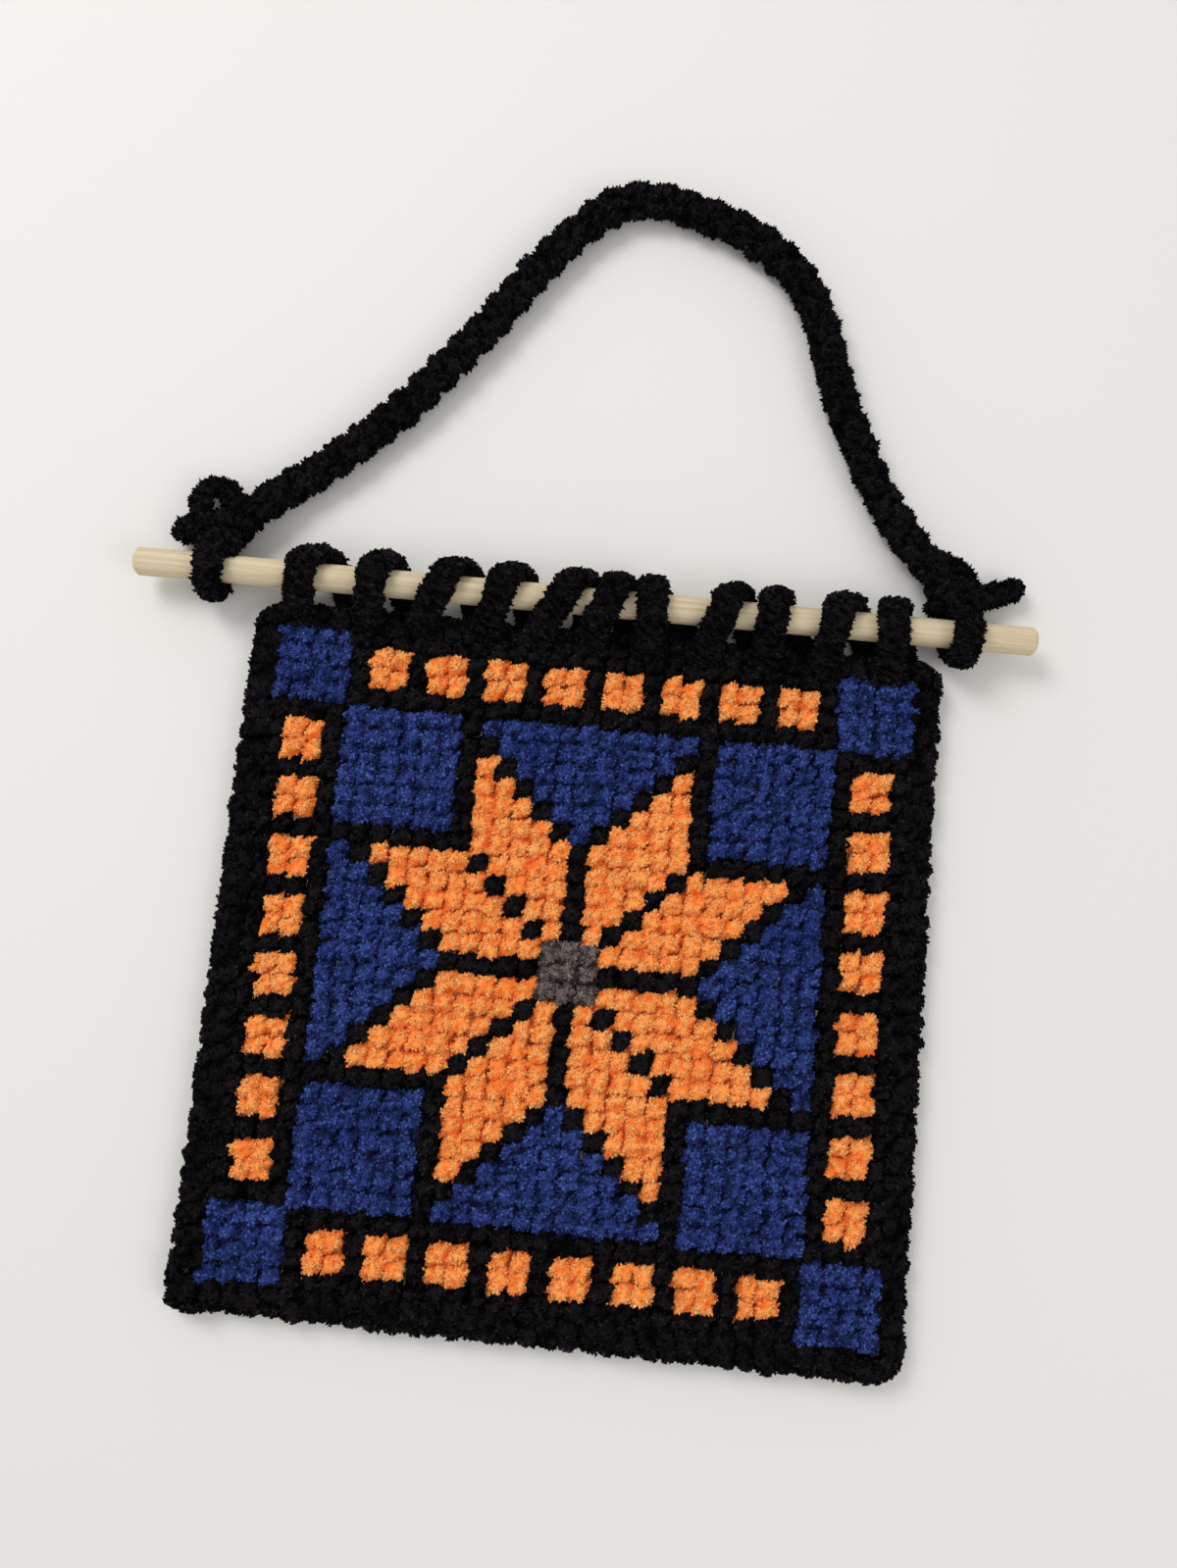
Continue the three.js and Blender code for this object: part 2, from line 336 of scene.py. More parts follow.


# A small closed tuft, each corner with its own share of painted light, from painted shade at the root to the
# top
def makeTuft(name, plan):
    deselectAll()
    sides = len(plan["corners"]) - 1
    bpy.ops.mesh.primitive_cone_add(vertices=sides, radius1=mm, radius2=0, depth=mm)
    tuft = bpy.context.object
    tuft.name = name
    setPoints(tuft, plan["corners"])
    storeValues(tuft, "tip", plan["tips"])
    bpy.ops.object.mode_set(mode="EDIT")
    faceOutwards()
    bpy.ops.object.mode_set(mode="OBJECT")
    return tuft


def randomValue(tree, low, high, seed):
    return addNode(tree, "FunctionNodeRandomValue", {"data_type": "FLOAT"}, {
        2: low, 3: high, "Seed": seed,
    }).outputs[1]


def randomTurn(tree, low, high, seed):
    return addNode(tree, "FunctionNodeRandomValue", {"data_type": "FLOAT_VECTOR"}, {
        "Min": low, "Max": high, "Seed": seed,
    }).outputs["Value"]


# Tufts spread over the chosen faces, closer together on the crests
def spreadTufts(tree, mesh, chosen, rise, perSquareMm, seed):
    perArea = perSquareMm / mm / mm
    few = pilePlan["inValleys"]
    return addNode(tree, "GeometryNodeDistributePointsOnFaces", None, {
        "Mesh": mesh,
        "Selection": chosen,
        "Density": scaled(tree, rise, perArea * (1 - few), perArea * few),
        "Seed": seed,
    }).outputs


# Which way each tuft stands: locks lie along the yarn and are swept aside together, ribs stand across it
def standTufts(tree, rotation, laid, seed):
    place = addNode(tree, "GeometryNodeInputPosition").outputs[0]
    tufts = addNode(tree, "ShaderNodeTexNoise", None, {
        "Vector": place, "Scale": 1 / (pilePlan["tuft"] * mm), "Detail": 1.0,
    }).outputs["Color"]
    sideways = vectorNode(tree, "SUBTRACT", tufts, (0.5, 0.5, 0.5))
    along = readAttribute(tree, "along", "FLOAT_VECTOR")
    spin = pilePlan["spin"]
    if laid:
        along = vectorNode(tree, "MULTIPLY_ADD", sideways, (pilePlan["swept"],) * 3, along)
        low, high = (pilePlan["flattest"], -spin, -spin), (pilePlan["steepest"], spin, spin)
        turn = randomTurn(tree, low, high, seed)
    else:
        combed, strayed = pilePlan["combed"], pilePlan["strayed"]
        leaning = vectorNode(tree, "MULTIPLY", sideways, (combed, combed, 0))
        stray = randomTurn(tree, (-strayed, -strayed, -spin), (strayed, strayed, spin), seed)
        turn = vectorNode(tree, "ADD", leaning, stray)
    stood = addNode(tree, "FunctionNodeAlignRotationToVector", {"axis": "Y", "pivot_axis": "Z"}, {
        "Rotation": rotation, "Vector": along,
    }).outputs["Rotation"]
    return addNode(tree, "FunctionNodeRotateRotation", {"rotation_space": "LOCAL"}, {
        "Rotation": stood, "Rotate By": turn,
    }).outputs["Rotation"]


# The pile of a piece, on its outside only, or wherever its faces look up by more than "lowest"
def growPile(name, source, tuft, material, pile, outside=False, laid=False, lowest=-2.0):
    perSquareMm, seed, longer = pile
    grown = source.copy()
    grown.data = source.data.copy()
    grown.name = name
    grown.data.name = name
    scene.collection.objects.link(grown)
    tree, start, end = newShape(name + "Tufts")
    if outside:
        facing = addNode(tree, "FunctionNodeCompare", {"operation": "LESS_THAN"}, {
            0: readAttribute(tree, "hidden"), 1: pilePlan["inside"],
        })
    else:
        normal = addNode(tree, "GeometryNodeInputNormal").outputs["Normal"]
        height = addNode(tree, "ShaderNodeSeparateXYZ", None, {"Vector": normal}).outputs["Z"]
        facing = addNode(tree, "FunctionNodeCompare", {"operation": "GREATER_THAN"}, {0: height, 1: lowest})
    rise = readAttribute(tree, "rise")
    spread = spreadTufts(tree, start, facing.outputs["Result"], rise, perSquareMm, seed)
    stood = standTufts(tree, spread["Rotation"], laid, seed + 1)
    size = randomValue(tree, pilePlan["shortest"] * longer, pilePlan["longest"] * longer, seed + 2)
    short = pilePlan["lowInValleys"]
    size = mathNode(tree, "MULTIPLY", size, scaled(tree, rise, 1 - short, short))
    shaded = addNode(tree, "GeometryNodeStoreNamedAttribute", {"data_type": "FLOAT", "domain": "INSTANCE"}, {
        "Geometry": placed(tree, spread["Points"], tuft, stood, size),
        "Name": "shade",
        "Value": randomValue(tree, 0.0, 1.0, seed + 3),
    })
    realize(tree, shaded.outputs["Geometry"], end)
    applyShape(grown, tree)
    pressFlat(grown)
    dress(grown, material)
    return grown


def sRgb(red, green, blue):
    shares = [v / 255 for v in (red, green, blue)]
    return [((v + 0.055) / 1.055) ** 2.4 if v > 0.04 else v / 12.92 for v in shares] + [1]


def newGroup(name, inputs, outputs):
    tree = bpy.data.node_groups.new(name, "ShaderNodeTree")
    for label, kind in inputs:
        tree.interface.new_socket(label, in_out="INPUT", socket_type="NodeSocket" + kind)
    for label, kind in outputs:
        tree.interface.new_socket(label, in_out="OUTPUT", socket_type="NodeSocket" + kind)
    return tree, tree.nodes.new("NodeGroupInput"), tree.nodes.new("NodeGroupOutput")


def noise(tree, place, scale, detail=2.0, rough=0.5, distortion=0.0):
    return addNode(tree, "ShaderNodeTexNoise", None, {
        "Vector": place, "Scale": scale, "Detail": detail, "Roughness": rough, "Distortion": distortion,
    }).outputs["Fac"]


def ranged(tree, value, found, wanted=(0.0, 1.0)):
    return addNode(tree, "ShaderNodeMapRange", None, {
        "Value": value, "From Min": found[0], "From Max": found[1], "To Min": wanted[0], "To Max": wanted[1],
    }).outputs["Result"]


# A value from 0 to 1 as a swing either side of nothing
def centred(tree, value, swing):
    return scaled(tree, value, swing, -swing / 2)


def blend(tree, share, first, second):
    return addNode(tree, "ShaderNodeMix", {"data_type": "RGBA"}, {
        "Factor": share, 6: first, 7: second,
    }).outputs[2]


def bumpFrom(tree, height, depth, strength):
    return addNode(tree, "ShaderNodeBump", None, {
        "Height": height, "Distance": depth, "Strength": strength,
    }).outputs["Normal"]


def putOut(tree, made, colour, rough, normal):
    tree.links.new(colour, made.inputs["Colour"])
    tree.links.new(rough, made.inputs["Roughness"])
    tree.links.new(normal, made.inputs["Normal"])


surface = [("Colour", "Color"), ("Roughness", "Float"), ("Normal", "Vector")]
whole = (0.0, 1.0)


chenillePlan = {
    "tufts": 480.0,  # noise scales
    "fibres": 2100.0,
    "patches": 60.0,
    "fibreRough": 0.6,
    "byTuft": 0.9,  # how strongly each one varies the shade
    "byFleck": 0.8,
    "byFibre": 1.8,
    # noise patches, and how much of each tuft's painted highlight they let show
    "patchy": (0.3, 0.7),
    "palest": (0.5, 1.0),
    "roughness": (0.85, 1.0),
    "bump": 0.8,
    "fibreDepth": 0.35,
    "fleck": 0.35,
    "sheenRoughness": 0.6,
}


# Cut chenille pile: painted shade at roots and between tufts, painted highlights at tips, fine fibres across
def chenilleGroup():
    plan = chenillePlan
    tree, given, made = newGroup(
        "chenillePile",
        [("Deep", "Color"), ("Body", "Color"), ("Tip", "Color"), ("Rise", "Float"), ("Fleck", "Float"),
         ("Fibre Depth", "Float")],
        surface,
    )
    place = addNode(tree, "ShaderNodeTexCoord").outputs["Object"]
    fleck = given.outputs["Fleck"]
    fibres = noise(tree, place, plan["fibres"], rough=plan["fibreRough"])
    byTuft = centred(tree, noise(tree, place, plan["tufts"]), plan["byTuft"])
    byFleck = centred(tree, fleck, plan["byFleck"])
    byFibre = centred(tree, fibres, plan["byFibre"])
    varied = mathNode(tree, "ADD", mathNode(tree, "ADD", byTuft, byFleck), byFibre)
    # painted shade: low places and darker tufts are blended towards the shade colour
    lit = mathNode(tree, "ADD", given.outputs["Rise"], varied, clamp=True)
    body = blend(tree, lit, given.outputs["Deep"], given.outputs["Body"])
    # painted highlights on some tufts, only as far as they are lit
    patches = ranged(tree, noise(tree, place, plan["patches"]), plan["patchy"], plan["palest"])
    glintChance = mathNode(tree, "MULTIPLY", fleck, patches)
    highlightShare = mathNode(tree, "MULTIPLY", glintChance, lit, clamp=True)
    highlighted = blend(tree, highlightShare, body, given.outputs["Tip"])
    rough = ranged(tree, fibres, whole, plan["roughness"])
    putOut(tree, made, highlighted, rough, bumpFrom(tree, fibres, given.outputs["Fibre Depth"], plan["bump"]))
    return tree


birchPlan = {
    "pale": (213, 197, 165),
    "streak": (194, 174, 138),
    "pore": (176, 154, 120),
    "streaks": (14.0, 620.0, 620.0),  # noise scales along the dowel and across it
    "pores": (180.0, 3600.0, 3600.0),
    "streaky": (0.42, 0.68),
    "porous": (0.6, 0.75),
    "darkest": 0.55,
    "roughness": (0.5, 0.7),
    "bump": 0.5,
    "grainDepth": 0.08,
    "specular": 0.35,
}


# Pale birch: long faint streaks along x and short pores
def birchGroup():
    plan = birchPlan
    tree, given, made = newGroup(
        "birchGrain",
        [("Pale", "Color"), ("Streak", "Color"), ("Pore", "Color"), ("Grain Depth", "Float")],
        surface,
    )
    place = addNode(tree, "ShaderNodeTexCoord").outputs["Object"]
    drawn = addNode(tree, "ShaderNodeMapping", None, {"Vector": place, "Scale": plan["streaks"]}).outputs[0]
    fine = addNode(tree, "ShaderNodeMapping", None, {"Vector": place, "Scale": plan["pores"]}).outputs[0]
    long = noise(tree, drawn, 1.0, 4.0, 0.6, 0.4)
    pores = noise(tree, fine, 1.0)
    pale = blend(tree, ranged(tree, long, plan["streaky"]), given.outputs["Pale"], given.outputs["Streak"])
    pore = ranged(tree, pores, plan["porous"], (0.0, plan["darkest"]))
    colour = blend(tree, pore, pale, given.outputs["Pore"])
    rough = ranged(tree, long, whole, plan["roughness"])
    putOut(tree, made, colour, rough, bumpFrom(tree, pores, given.outputs["Grain Depth"], plan["bump"]))
    return tree


cottonPlan = {
    "plain": (206, 198, 180),
    # the darker colour is painted shade where the twist lies low
    "crease": (160, 150, 130),
    "twist": 900.0,
    "worn": (0.35, 0.65),
    "roughness": (0.7, 0.95),
    "bump": 0.6,
    "threadDepth": 0.15,
    "specular": 0.2,
}


# Stiffened cotton threads, with painted shade where their twist lies low
def cottonGroup():
    plan = cottonPlan
    tree, given, made = newGroup(
        "cottonThread",
        [("Plain", "Color"), ("Crease", "Color"), ("Thread Depth", "Float")],
        surface,
    )
    place = addNode(tree, "ShaderNodeTexCoord").outputs["Object"]
    twist = noise(tree, place, plan["twist"], 3.0)
    worn = ranged(tree, twist, plan["worn"])
    colour = blend(tree, worn, given.outputs["Crease"], given.outputs["Plain"])
    rough = ranged(tree, twist, whole, plan["roughness"])
    putOut(tree, made, colour, rough, bumpFrom(tree, twist, given.outputs["Thread Depth"], plan["bump"]))
    return tree


def dressMaterial(name, group, values, settings):
    material = bpy.data.materials.new(name)
    material.use_nodes = True
    tree = material.node_tree
    shader = tree.nodes["Principled BSDF"]
    effect = addNode(tree, "ShaderNodeGroup", {"node_tree": group, "name": group.name}, values)
    tree.links.new(effect.outputs["Colour"], shader.inputs["Base Color"])
    tree.links.new(effect.outputs["Roughness"], shader.inputs["Roughness"])
    tree.links.new(effect.outputs["Normal"], shader.inputs["Normal"])
    for key, value in settings.items():
        shader.inputs[key].default_value = value
    return material


def dress(piece, material):
    piece.data.materials.clear()
    piece.data.materials.append(material)


# Each yarn: a painted shade colour for roots and valleys, its own colour, then a painted highlight for lit
# tufts
yarnPlan = {
    "blue": {
        "Deep": (4, 6, 29), "Body": (25, 39, 107), "Tip": (82, 106, 182),
        "sheen": 0.25, "specular": 0.1,
    },
    "orange": {
        "Deep": (255, 112, 32), "Body": (255, 160, 76), "Tip": (255, 198, 124),
        "sheen": 0.5, "specular": 0.1,
    },
    "black": {
        "Deep": (2, 2, 3), "Body": (12, 10, 11), "Tip": (47, 43, 46),
        "sheen": 0.0, "specular": 0.02,
    },
    "grey": {
        "Deep": (31, 26, 26), "Body": (95, 83, 81), "Tip": (152, 136, 132),
        "sheen": 0.25, "specular": 0.1,
    },
}
pileShade = {"byHeight": 0.6, "least": 0.4}  # how much of a tuft's shade comes from where it stands


# The yarn under the pile, with painted shade by how high it lies, and the pile, with painted shade from root
# to top
def yarnMaterial(colour, group, kind):
    plan = yarnPlan[colour]
    values = {key: sRgb(*plan[key]) for key in ("Deep", "Body", "Tip")}
    values.update({"Fibre Depth": chenillePlan["fibreDepth"] * mm, "Fleck": chenillePlan["fleck"]})
    material = dressMaterial(colour + kind, group, values, {
        "Sheen Weight": plan["sheen"],
        "Sheen Roughness": chenillePlan["sheenRoughness"],
        "Sheen Tint": values["Tip"],
        "Specular IOR Level": plan["specular"],
    })
    tree = material.node_tree
    effect = tree.nodes[group.name]
    rise = addNode(tree, "ShaderNodeAttribute", {"attribute_name": "rise"}).outputs["Fac"]
    if kind == "Pile":
        tip = addNode(tree, "ShaderNodeAttribute", {"attribute_name": "tip"}).outputs["Fac"]
        shade = addNode(tree, "ShaderNodeAttribute", {"attribute_name": "shade"}).outputs["Fac"]
        # painted shade on each tuft, from its root to its top, deeper where the tuft stands low
        rise = mathNode(tree, "MULTIPLY", tip, scaled(tree, rise, pileShade["byHeight"], pileShade["least"]))
        tree.links.new(shade, effect.inputs["Fleck"])
    tree.links.new(rise, effect.inputs["Rise"])
    return material


def makeYarns(group):
    kinds = [(colour, kind) for colour in yarnPlan for kind in ("Yarn", "Pile")]
    return {colour + kind: yarnMaterial(colour, group, kind) for colour, kind in kinds}


plaitPlan = {
    "route": [
        (-127.4, 141.3, 10), (-119, 149.3, 8), (-111.5, 156, 6.4), (-100.5, 165.2, 6), (-90, 174.3, 6),
        (-80, 184.2, 6), (-70.5, 194.9, 6), (-52.8, 217.2, 6), (-36, 241.3, 6), (-27.3, 252.9, 6),
        (-17.5, 263.7, 6), (-6.3, 272.3, 6), (8, 274.3, 6), (22, 271.1, 6), (35.8, 266.3, 6),
        (48.4, 259.2, 6), (59, 249.5, 6), (66.3, 236.7, 6), (71, 222.5, 6), (75.5, 208.6, 6),
        (81, 195.2, 6), (87.3, 182.2, 6), (94.1, 169.8, 6.2), (101.6, 158.3, 7.5), (108.5, 150.2, 9),
        (114.6, 142.9, 10.4),
    ],
    "length": 373.8,
    "diameter": 11.6,
    "lay": 28.5,  # one full turn of a strand
    "sway": 2.65,  # how far a strand swings sideways, and up and down
    "lift": 1.4,
    "strand": 6.7,
    "looserNear": 42,  # fuller just past the top of the loop
    "looserFor": 30,
    "looser": 0.06,
    "step": 1.5,
    "pathStep": 4,
    "sides": 12,
    "spacing": 1.1,
    "lumps": (2.4, 1.8, 1.1, 1.2),  # size and depth of the lumps, then of the grain
    "pile": (0.7, 900, 1.0),  # tufts to the square millimetre, seed and size
}


def plaitRows(step):
    return smoothRows([list(place) + [1, 1] for place in plaitPlan["route"]], step)


def makePlait():
    plan = plaitPlan
    route, reach = plaitRows(plan["step"])
    tangent, up, aside = lineFrames(route, np.array((0, 0, 1.0)))
    fuller = 1 + plan["looser"] * np.exp(-((route[:, 0] - plan["looserNear"]) / plan["looserFor"]) ** 2)
    strands = []
    for k in range(3):
        phase = 2 * math.pi * (reach / plan["lay"] + k / 3)
        centre = route[:, :3].copy()
        centre += aside * (plan["sway"] * fuller * np.sin(phase))[:, None]
        centre += up * (plan["lift"] * np.sin(2 * phase))[:, None]
        size = plan["strand"] * (0.5 + fuller / 2)
        stops = np.column_stack([centre, size, size])
        strands.append(rollStrand("plaitStrand", stops, (0, 0, 1), plan["sides"], plan["spacing"]))
    plait = joinPieces(strands, "hanger_plait_yarn")
    roughen(plait, plan["lumps"])
    return plait


makeCamera()
print("camera ready")
plait = makePlait()
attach(plait, "root")
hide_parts("hanger_plait")
[[v * mm for v in row[:3]] for row in plaitRows(plaitPlan["pathStep"])[0]]
print("plait ready")


stagePlan = {
    "floor": (228, 226, 222),
    "floorSize": 4,  # metres, as are the lamps' size and places
    "below": 0.3,
    "backdrop": (232, 230, 226),
    "world": 0.65,
    "lampSize": 0.7,
    "lamps": {"keyLight": (9.4, (-0.7, 0.75, 1.1)), "fillLight": (3.2, (0.9, -0.4, 1.0))},
}


def makeStage():
    plan = stagePlan
    deselectAll()
    bpy.ops.mesh.primitive_plane_add(size=plan["floorSize"], location=(0, 0, -plan["below"] * mm))
    floor = bpy.context.object
    floor.name = "floor"
    material = bpy.data.materials.new("paleFloor")
    material.use_nodes = True
    shader = material.node_tree.nodes["Principled BSDF"]
    shader.inputs["Base Color"].default_value = sRgb(*plan["floor"])
    shader.inputs["Roughness"].default_value = 0.9
    shader.inputs["Specular IOR Level"].default_value = 0.1
    dress(floor, material)
    floor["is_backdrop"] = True
    world = bpy.data.worlds.new("softRoom")
    world.use_nodes = True
    tree = world.node_tree
    room = tree.nodes["Background"]
    room.inputs["Color"].default_value = (1, 1, 1, 1)
    room.inputs["Strength"].default_value = plan["world"]
    seen = addNode(tree, "ShaderNodeBackground", None, {"Color": sRgb(*plan["backdrop"]), "Strength": 1.0})
    ray = addNode(tree, "ShaderNodeLightPath")
    chosen = addNode(tree, "ShaderNodeMixShader", None, {
        0: ray.outputs["Is Camera Ray"], 1: room.outputs[0], 2: seen.outputs[0],
    })
    tree.links.new(chosen.outputs[0], tree.nodes["World Output"].inputs["Surface"])
    scene.world = world
    for name, (power, place) in plan["lamps"].items():
        bpy.ops.object.light_add(type="AREA", location=place)
        lamp = bpy.context.object
        lamp.name = name
        lamp.data.shape = "DISK"
        lamp.data.size = plan["lampSize"]
        lamp.data.energy = power
        lamp.rotation_euler = (-Vector(place)).to_track_quat("-Z", "Y").to_euler()
    scene.view_settings.view_transform = "Standard"


makeStage()
print("floor and light ready")


panelPlan = {
    "corners": [(-118.8, -117), (118, -119), (117, 115.8), (-118, 117.4)],  # outside of the whipped edge
    "inner": [(-109.4, -107.3), (109.7, -109.7), (109, 108.6), (-109.4, 109.5)],  # outside of the stitches
    "cells": 33,
    "band": 4,
    "checkRows": (1, 2),
    "checksFrom": 5,
    "checksTo": 27,
    "checkEvery": 3,
    "checkWide": 2,
    "mark": 6,  # half width of the star's arms
}
stitchPlan = {
    "width": 7.1,
    "cuts": 6,
    "floor": 4.4,
    "lift": 0.26,  # height of its rim, as a share
    "top": 8.4,
    "rounded": 2.0,
    "shoulder": 0.95,
    "slant": 0.22,
    "fan": (0.6, 1, 0),  # the pile fans out from the middle, mostly up and down
    "skirt": 0.1,
    "wander": 0.55,
    "turn": 0.3,
    "wide": (0.9, 1.12),
    "long": (0.94, 1.14),
    "high": (0.9, 1.04),
    "shaded": (5.5, 8.0),  # heights at which the yarn is in full shade and in full light
    "lit": (0.55, 0.6, -0.1),  # shares of height and of lumps in a stitch's shade, and what is added
    "lumps": (2.5, 2.8, 1.5, 1.2),
    "backWidth": 7.4,
    "backCuts": 2,
    "backTop": 0.1,
    "backLumps": (2.4, 0.7, 1.2, 0.0),
    "facing": 0.15,  # pile grows only where a stitch looks up by more than this
    "pile": {
        "blue": (1.05, 1, 1.0), "orange": (0.98, 11, 1.0), "black": (0.55, 21, 1.0), "grey": (0.98, 31, 1.0),
    },
    "seed": 7,
}


# Border of checks between blue corners, and an eight-pointed star of slanting petals
def stitchColour(i, j):
    plan = panelPlan
    last = plan["cells"] - 1
    band = plan["band"]
    inX, inY = min(i, last - i), min(j, last - j)
    if inX < band and inY < band:
        return "blue"
    if min(inX, inY) < band:
        along = i if inY < band else j
        onCheck = (along - plan["checksFrom"]) % plan["checkEvery"] < plan["checkWide"]
        inRow = min(inX, inY) in plan["checkRows"] and plan["checksFrom"] <= along <= plan["checksTo"]
        return "orange" if inRow and onCheck else "black"
    x, y = abs(i - last // 2), abs(j - last // 2)
    far, near, mark = max(x, y), min(x, y), plan["mark"]
    if near > mark or far - near > mark:
        return "blue"
    if far <= 1:
        return "grey"
    if near == 0 or far == near or far - near == mark or near == mark:
        return "black"
    return "orange"


# Where a place on the unit square falls on the panel, a little out of square
def onPanel(across, up):
    lowLeft, lowRight, topRight, topLeft = (np.array(corner) for corner in panelPlan["inner"])
    low = lowLeft + (lowRight - lowLeft) * across
    high = topLeft + (topRight - topLeft) * across
    return low + (high - low) * up


# Faces and corners in a fixed order, since extruding leaves them in another order from run to run
def settleOrder(piece):
    points = getPoints(piece) * mm
    faces = []
    for face in piece.data.polygons:
        corners = list(face.vertices)
        first = corners.index(min(corners))
        faces.append(corners[first:] + corners[:first])
    piece.data.clear_geometry()
    piece.data.from_pydata(points.tolist(), [], sorted(faces))


# One plump stitch: a soft mound over the canvas, drawn out along its slant
def makeStitch(name, cuts, top, width):
    plan = stitchPlan
    floor = plan["floor"]
    deselectAll()
    bpy.ops.mesh.primitive_grid_add(x_subdivisions=cuts, y_subdivisions=cuts, size=width * mm)
    stitch = bpy.context.object
    stitch.name = name
    points = getPoints(stitch)
    lift, power = plan["lift"], plan["rounded"]
    reach = (np.abs(points[:, 0]) ** power + np.abs(points[:, 1]) ** power) / (width / 2) ** power
    mound = np.sqrt(np.clip(1 - reach * plan["shoulder"], 0, 1))
    points[:, 2] = floor + (top - floor) * (lift + (1 - lift) * mound)
    corner = np.minimum(np.abs(points[:, 0]), np.abs(points[:, 1])) / (width / 2)
    pulled = 1 + plan["slant"] * np.sign(points[:, 0] * points[:, 1]) * corner
    points[:, :2] *= pulled[:, None]
    setPoints(stitch, points)
    bpy.ops.object.mode_set(mode="EDIT")
    bpy.ops.mesh.select_all(action="SELECT")
    bpy.ops.mesh.region_to_loop()
    bpy.ops.mesh.extrude_edges_move(TRANSFORM_OT_translate={"value": (0, 0, -plan["skirt"] * mm)})
    bpy.ops.transform.resize(value=(1, 1, 0), center_override=(0, 0, floor * mm))
    bpy.ops.mesh.edge_face_add()
    faceOutwards()
    bpy.ops.object.mode_set(mode="OBJECT")
    settleOrder(stitch)
    storeValues(stitch, "along", getPoints(stitch) * np.array(plan["fan"]) * 2 / width, "FLOAT_VECTOR")
    return stitch


# The yarn's shade goes by how high it lies as well as by its lumps
def shadeByHeight(piece):
    low, high = stitchPlan["shaded"]
    byHeight, byLumps, off = stitchPlan["lit"]
    height = np.clip((getPoints(piece)[:, 2] - low) / (high - low), 0, 1)
    storeValues(piece, "rise", np.clip(byHeight * height + byLumps * readValues(piece, "rise") + off, 0, 1))


def layStitches():
    plan = stitchPlan
    random.seed(plan["seed"])
    frontStitch = makeStitch("frontStitch", plan["cuts"], plan["top"], plan["width"])
    backStitch = makeStitch("backStitch", plan["backCuts"], plan["backTop"], plan["backWidth"])
    cells = panelPlan["cells"]
    laid = {colour: [] for colour in yarnPlan}
    for j in range(cells):
        for i in range(cells):
            laid[stitchColour(i, j)].append((i, j))
    wander, turn = plan["wander"], plan["turn"]
    pieces = {}
    for colour, spots in laid.items():
        places, turns, sizes = [], [], []
        for i, j in spots:
            x, y = onPanel((i + 0.5) / cells, (j + 0.5) / cells)
            places.append((x + random.uniform(-wander, wander), y + random.uniform(-wander, wander), 0))
            turns.append((0, 0, random.uniform(-turn, turn)))
            sizes.append([random.uniform(*plan[way]) for way in ("wide", "long", "high")])
        front = placeCopies(colour + "Front", frontStitch, places, turns, sizes)
        roughen(front, plan["lumps"])
        shadeByHeight(front)
        back = placeCopies(colour + "Back", backStitch, places, turns, sizes)
        roughen(back, plan["backLumps"])
        smoothShade(front)
        smoothShade(back)
        pieces[colour] = (front, back)
    bpy.data.objects.remove(frontStitch)
    bpy.data.objects.remove(backStitch)
    return pieces


canvasPlan = {"middle": 3.1, "thread": 1.95}


# Rug canvas, one square hole to each stitch
def makeCanvas():
    deselectAll()
    cells = panelPlan["cells"]
    bpy.ops.mesh.primitive_grid_add(x_subdivisions=cells, y_subdivisions=cells, size=1)
    canvas = bpy.context.object
    canvas.name = "rug_canvas"
    flat = getPoints(canvas) * mm
    setPoints(canvas, [[*onPanel(x + 0.5, y + 0.5), canvasPlan["middle"]] for x, y, _ in flat])
    threads = canvas.modifiers.new("threads", "WIREFRAME")
    threads.thickness = canvasPlan["thread"] * mm
    threads.use_boundary = True
    applyModifier(canvas, threads)
    return canvas


lock = makeTuft("lock", lockPlan)
smoothShade(lock)
rib = makeTuft("rib", ribPlan)
yarns = makeYarns(chenilleGroup())
dress(plait, yarns["blackYarn"])
smoothShade(plait)
plaitPile = growPile("hanger_plait_pile", plait, rib, yarns["blackPile"], plaitPlan["pile"])
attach(plaitPile, "root")
onCanvas = []
for colour, (front, back) in layStitches().items():
    dress(front, yarns[colour + "Yarn"])
    dress(back, yarns[colour + "Yarn"])
    pile = growPile(
        colour + "_pile", front, lock, yarns[colour + "Pile"], stitchPlan["pile"][colour],
        laid=True, lowest=stitchPlan["facing"],
    )
    stitches = joinPieces([front, back], colour + "_stitches")
    for piece in (stitches, pile):
        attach(piece, "root")
    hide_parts("stitched_panel")
    onCanvas += [stitches, pile]
    print(colour, "stitches ready")
canvas = makeCanvas()
dress(canvas, dressMaterial("stiffCotton", cottonGroup(), {
    "Plain": sRgb(*cottonPlan["plain"]),
    "Crease": sRgb(*cottonPlan["crease"]),
    "Thread Depth": cottonPlan["threadDepth"] * mm,
}, {"Specular IOR Level": cottonPlan["specular"]}))
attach(canvas, "root")
print("canvas ready")


whipPlan = {
    "count": 146,
    "rounded": [4.5, 14, 10, 15],  # how far in from each corner its curve starts
    "cornerSteps": 9,
    "wide": 7.2,
    "thick": 4.8,
    "course": [
        (11, 5), (9.4, 6.5), (6.4, 6.8), (3.8, 6.4), (2.4, 4.5), (3.8, 2.6), (6.4, 2.2), (9.4, 2.5), (11, 4),
    ],  # how far in and how high a stitch lies on its way out over the edge and back under it
    "sides": 8,
    "spacing": 2.2,
    "reach": 11,  # of the course, before it is fitted to the room at each place
    "overlap": 1.9,  # how far the yarn goes in over the stitches
    "leastFacing": 0.6,  # keeps the stitches at the corners from growing too long
    "slant": 1.9,  # how far a stitch drifts along the edge on its way round
    "turn": 0.1,
    "uneven": {"wide": (0.94, 1.08), "long": (0.96, 1.04), "thick": (0.96, 1.04)},
    "lumps": (2.2, 1.3, 1.2, 1.6),
    "pile": (0.75, 300, 1.0),
    "seed": 21,
}


